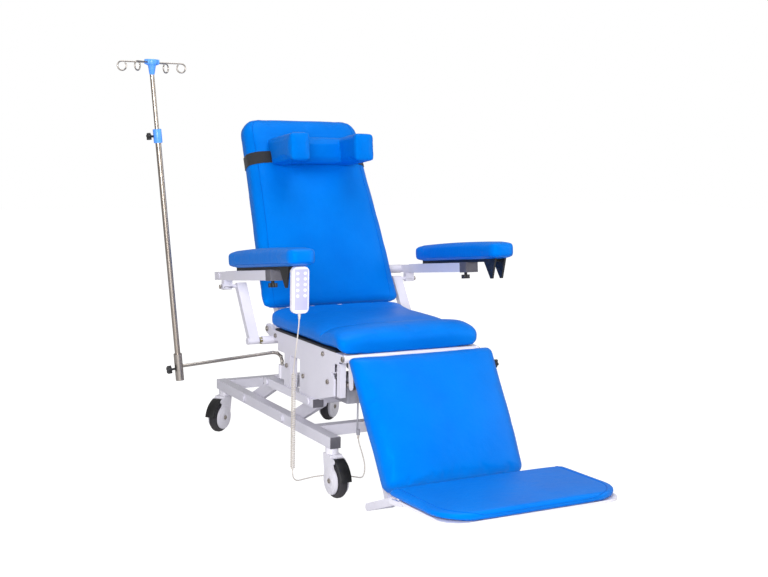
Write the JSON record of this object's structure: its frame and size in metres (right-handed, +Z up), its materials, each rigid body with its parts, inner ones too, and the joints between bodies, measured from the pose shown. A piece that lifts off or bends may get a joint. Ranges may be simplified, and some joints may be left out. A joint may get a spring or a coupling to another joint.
{
  "type": "hemodialysis chair",
  "caption": "Powered treatment chair with padded seat, back, leg, foot and arm rests on a braked caster base, with a corded handset and an infusion pole.",
  "frame": {"origin": "floor point under the middle of the whole chair's bounding box, the handset's cord left out", "axes": "+Z up, -Y the way the patient faces, +X the patient's left side, away from the infusion pole"},
  "size_m": [1.3496, 1.9545, 1.5016],
  "materials": {
    "vinyl": "glossy blue vinyl-coated fabric over foam",
    "paint": "semi-gloss powder paint, pale lavender white",
    "plate": "semi-gloss white moulding",
    "plug_grey": "matt grey moulded plastic",
    "tyre": "dark grey solid tyre",
    "black": "matt black moulded plastic",
    "webbing": "black elastic webbing",
    "steel": "satin stainless steel",
    "pole_blue": "light blue moulded plastic",
    "motor": "grey coated housing",
    "box_grey": "grey moulded plastic",
    "handset": "white moulded plastic",
    "key": "lilac-grey key",
    "cable": "grey rubber sheath"
  },
  "bodies": {
    "base": {"base_frame": "paint", "base_plugs": "plug_grey"},
    "lift_arm_front": {"lift_arm_front": "paint"},
    "lift_arm_rear": {"lift_arm_rear": "paint"},
    "seat": {"lift_frame": "paint", "lift_plugs": "plug_grey", "seat_frame": "paint", "seat_board": "black", "seat_cushion": "vinyl", "control_box": "box_grey", "handset_coil": "cable", "handset_tail": "cable"},
    "lift_motor": {"lift_motor": "motor"},
    "lift_rod": {"lift_motor_rod": "steel"},
    "back_motor": {"back_motor": "motor"},
    "back_rod": {"back_motor_rod": "steel"},
    "leg_motor": {"leg_motor": "plate"},
    "leg_rod": {"leg_motor_rod": "steel"},
    "back": {"back_frame": "paint", "back_cushion": "vinyl", "head_strap": "webbing", "neck_pillow": "vinyl"},
    "leg": {"leg_frame": "paint", "leg_cushion": "vinyl", "foot_arms": "paint"},
    "leg_knob": {"leg_knob": "black"},
    "foot": {"foot_board": "plate", "foot_cushion": "vinyl"},
    "posts": {"arm_posts": "paint"},
    "arms": {"arm_tubes": "paint"},
    "pad_left": {"arm_rail_left": "black", "arm_pad_left": "vinyl", "handset": "handset", "handset_lead": "cable"},
    "pad_right": {"arm_rail_right": "black", "arm_pad_right": "vinyl"},
    "keys_up": {"handset_keys_up": "key"},
    "keys_down": {"handset_keys_down": "key"},
    "arm_knob_left": {"arm_knob_left": "black"},
    "arm_knob_right": {"arm_knob_right": "black"},
    "iv_rod": {"iv_rod": "steel"},
    "iv_rod_knob": {"iv_rod_knob": "black"},
    "iv_socket_knob": {"iv_socket_knob": "black"},
    "iv_pole": {"iv_pole": "steel", "iv_collar": "pole_blue"},
    "iv_collar_knob": {"iv_collar_knob": "black"},
    "iv_upper": {"iv_pole_upper": "steel", "iv_hook_head": "pole_blue"},
    "caster_bl": {"caster_bl_housing": "plate"},
    "wheel_bl": {"caster_bl_wheel": "tyre"},
    "pedal_bl": {"caster_bl_pedal": "black"},
    "caster_br": {"caster_br_housing": "plate"},
    "wheel_br": {"caster_br_wheel": "tyre"},
    "pedal_br": {"caster_br_pedal": "black"},
    "caster_fl": {"caster_fl_housing": "plate"},
    "wheel_fl": {"caster_fl_wheel": "tyre"},
    "pedal_fl": {"caster_fl_pedal": "black"},
    "caster_fr": {"caster_fr_housing": "plate"},
    "wheel_fr": {"caster_fr_wheel": "tyre"},
    "pedal_fr": {"caster_fr_pedal": "black"}
  },
  "joints": [
    {"name": "caster_bl_swivel", "type": "hinge", "parent": "base", "child": "caster_bl", "pos_m": [-0.04082, 0.9385, 0.15], "axis": [0, 0, 1], "continuous": true},
    {"name": "caster_bl_roll", "type": "hinge", "parent": "caster_bl", "child": "wheel_bl", "pos_m": [-0.07116, 0.91563, 0.0625], "axis": [0.6018, -0.7986, 0], "continuous": true},
    {"name": "caster_bl_brake", "type": "hinge", "parent": "caster_bl", "child": "pedal_bl", "pos_m": [-0.08394, 0.906, 0.132], "axis": [0.6018, -0.7986, 0], "range_deg": [0, 5]},
    {"name": "caster_br_swivel", "type": "hinge", "parent": "base", "child": "caster_br", "pos_m": [0.47518, 0.9385, 0.15], "axis": [0, 0, 1], "continuous": true},
    {"name": "caster_br_roll", "type": "hinge", "parent": "caster_br", "child": "wheel_br", "pos_m": [0.44484, 0.91563, 0.0625], "axis": [0.6018, -0.7986, 0], "continuous": true},
    {"name": "caster_br_brake", "type": "hinge", "parent": "caster_br", "child": "pedal_br", "pos_m": [0.43206, 0.906, 0.132], "axis": [0.6018, -0.7986, 0], "range_deg": [0, 5]},
    {"name": "caster_fl_swivel", "type": "hinge", "parent": "base", "child": "caster_fl", "pos_m": [-0.04082, -0.0915, 0.15], "axis": [0, 0, 1], "continuous": true},
    {"name": "caster_fl_roll", "type": "hinge", "parent": "caster_fl", "child": "wheel_fl", "pos_m": [-0.04082, -0.1295, 0.0625], "axis": [1, 0, 0], "continuous": true},
    {"name": "caster_fl_brake", "type": "hinge", "parent": "caster_fl", "child": "pedal_fl", "pos_m": [-0.04082, -0.1455, 0.132], "axis": [1, 0, 0], "range_deg": [0, 5]},
    {"name": "caster_fr_swivel", "type": "hinge", "parent": "base", "child": "caster_fr", "pos_m": [0.47518, -0.0915, 0.15], "axis": [0, 0, 1], "continuous": true},
    {"name": "caster_fr_roll", "type": "hinge", "parent": "caster_fr", "child": "wheel_fr", "pos_m": [0.45913, -0.12594, 0.0625], "axis": [0.9063, -0.4226, 0], "continuous": true},
    {"name": "caster_fr_brake", "type": "hinge", "parent": "caster_fr", "child": "pedal_fr", "pos_m": [0.45236, -0.14044, 0.132], "axis": [0.9063, -0.4226, 0], "range_deg": [0, 5]},
    {"name": "lift_front", "type": "hinge", "parent": "base", "child": "lift_arm_front", "pos_m": [0.21718, 0.2935, 0.19], "axis": [-1, 0, 0], "range_deg": [-6, 38]},
    {"name": "lift_rear", "type": "hinge", "parent": "base", "child": "lift_arm_rear", "pos_m": [0.21718, 0.6705, 0.19], "axis": [-1, 0, 0], "range_deg": [-6, 38]},
    {"name": "lift_level", "type": "hinge", "parent": "lift_arm_front", "child": "seat", "pos_m": [0.21718, 0.06041, 0.3052], "axis": [-1, 0, 0], "range_deg": [-38, 6]},
    {"name": "lift_motor_tilt", "type": "hinge", "parent": "base", "child": "lift_motor", "pos_m": [0.30718, 0.1035, 0.232], "axis": [1, 0, 0], "range_deg": [-4, 16]},
    {"name": "lift_motor_stroke", "type": "slide", "parent": "lift_motor", "child": "lift_rod", "axis": [0, 0.9938, 0.1112], "range_m": [-0.03, 0.15]},
    {"name": "back_recline", "type": "hinge", "parent": "seat", "child": "back", "pos_m": [0.21718, 0.4555, 0.5092], "axis": [-1, 0, 0], "range_deg": [-10, 55], "deforming": ["handset_lead"]},
    {"name": "back_motor_tilt", "type": "hinge", "parent": "seat", "child": "back_motor", "pos_m": [0.19718, 0.0385, 0.3722], "axis": [1, 0, 0], "range_deg": [-2, 4]},
    {"name": "back_motor_stroke", "type": "slide", "parent": "back_motor", "child": "back_rod", "axis": [0, 0.995, 0.0997], "range_m": [-0.09, 0.02]},
    {"name": "arm_post_swing", "type": "hinge", "parent": "seat", "child": "posts", "pos_m": [0.21718, 0.4135, 0.4722], "axis": [-1, 0, 0], "range_deg": [-10, 55]},
    {"name": "arm_level", "type": "hinge", "parent": "back", "child": "arms", "pos_m": [0.21718, 0.5855, 0.7042], "axis": [-1, 0, 0], "range_deg": [-55, 10]},
    {"name": "arm_pad_left_slide", "type": "slide", "parent": "arms", "child": "pad_left", "axis": [0, -0.9932, 0.1167], "range_m": [-0.05, 0.05]},
    {"name": "arm_pad_right_slide", "type": "slide", "parent": "arms", "child": "pad_right", "axis": [0, -0.9932, 0.1167], "range_m": [-0.05, 0.05]},
    {"name": "arm_knob_left_turn", "type": "hinge", "parent": "arms", "child": "arm_knob_left", "pos_m": [-0.18582, 0.10487, 0.73549], "axis": [0, 0.1167, 0.9932], "range_deg": [-180, 180]},
    {"name": "arm_knob_right_turn", "type": "hinge", "parent": "arms", "child": "arm_knob_right", "pos_m": [0.62018, 0.10487, 0.73549], "axis": [0, 0.1167, 0.9932], "range_deg": [-180, 180]},
    {"name": "keys_up_press", "type": "slide", "parent": "pad_left", "child": "keys_up", "axis": [0, 1, 0], "range_m": [0, 0.001], "stiffness_N_per_m": 1500, "springref_m": -0.0005},
    {"name": "keys_down_press", "type": "slide", "parent": "pad_left", "child": "keys_down", "axis": [0, 1, 0], "range_m": [0, 0.001], "stiffness_N_per_m": 1500, "springref_m": -0.0005},
    {"name": "leg_raise", "type": "hinge", "parent": "seat", "child": "leg", "pos_m": [0.21718, -0.1915, 0.5002], "axis": [-1, 0, 0], "range_deg": [-4, 60]},
    {"name": "leg_motor_tilt", "type": "hinge", "parent": "seat", "child": "leg_motor", "pos_m": [-0.01082, 0.1235, 0.3852], "axis": [1, 0, 0], "range_deg": [-8, 2]},
    {"name": "leg_motor_stroke", "type": "slide", "parent": "leg_motor", "child": "leg_rod", "axis": [0, -0.9981, 0.0614], "range_m": [-0.01, 0.09]},
    {"name": "leg_knob_turn", "type": "hinge", "parent": "leg", "child": "leg_knob", "pos_m": [0.51718, -0.24449, 0.45411], "axis": [1, 0, 0], "range_deg": [-180, 180]},
    {"name": "foot_fold", "type": "hinge", "parent": "leg", "child": "foot", "pos_m": [0.21718, -0.6245, 0.134], "axis": [-1, 0, 0], "range_deg": [0, 90]},
    {"name": "iv_rod_swing", "type": "hinge", "parent": "seat", "child": "iv_rod", "pos_m": [-0.04482, 0.3335, 0.3582], "axis": [0, 0, 1], "range_deg": [-45, 25]},
    {"name": "iv_rod_knob_turn", "type": "hinge", "parent": "seat", "child": "iv_rod_knob", "pos_m": [-0.04482, 0.3335, 0.3637], "axis": [1, 0, 0], "range_deg": [-180, 180]},
    {"name": "iv_socket_knob_turn", "type": "hinge", "parent": "iv_rod", "child": "iv_socket_knob", "pos_m": [-0.45189, 0.3335, 0.40591], "axis": [-0.9957, 0, -0.0924], "range_deg": [-180, 180]},
    {"name": "iv_pole_turn", "type": "hinge", "parent": "iv_rod", "child": "iv_pole", "pos_m": [-0.45151, 0.3335, 0.40183], "axis": [-0.0924, 0, 0.9957], "continuous": true},
    {"name": "iv_collar_knob_turn", "type": "hinge", "parent": "iv_pole", "child": "iv_collar_knob", "pos_m": [-0.5291, 0.3335, 1.23824], "axis": [-0.9957, 0, -0.0924], "range_deg": [-180, 180]},
    {"name": "iv_pole_height", "type": "slide", "parent": "iv_pole", "child": "iv_upper", "axis": [-0.0924, 0, 0.9957], "range_m": [-0.15, 0.25]}
  ],
  "couplings": [
    {"joint": "lift_rear", "follows": "lift_front", "ratio": 1},
    {"joint": "lift_level", "follows": "lift_front", "ratio": -1},
    {"joint": "lift_motor_tilt", "follows": "lift_front", "ratio": 0.38},
    {"joint": "lift_motor_stroke", "follows": "lift_front", "m_per_rad": 0.218},
    {"joint": "back_motor_tilt", "follows": "back_recline", "ratio": 0.05},
    {"joint": "back_motor_stroke", "follows": "back_recline", "m_per_rad": -0.085},
    {"joint": "arm_post_swing", "follows": "back_recline", "ratio": 1},
    {"joint": "arm_level", "follows": "back_recline", "ratio": -1},
    {"joint": "leg_motor_tilt", "follows": "leg_raise", "ratio": -0.105},
    {"joint": "leg_motor_stroke", "follows": "leg_raise", "m_per_rad": 0.0835}
  ]
}
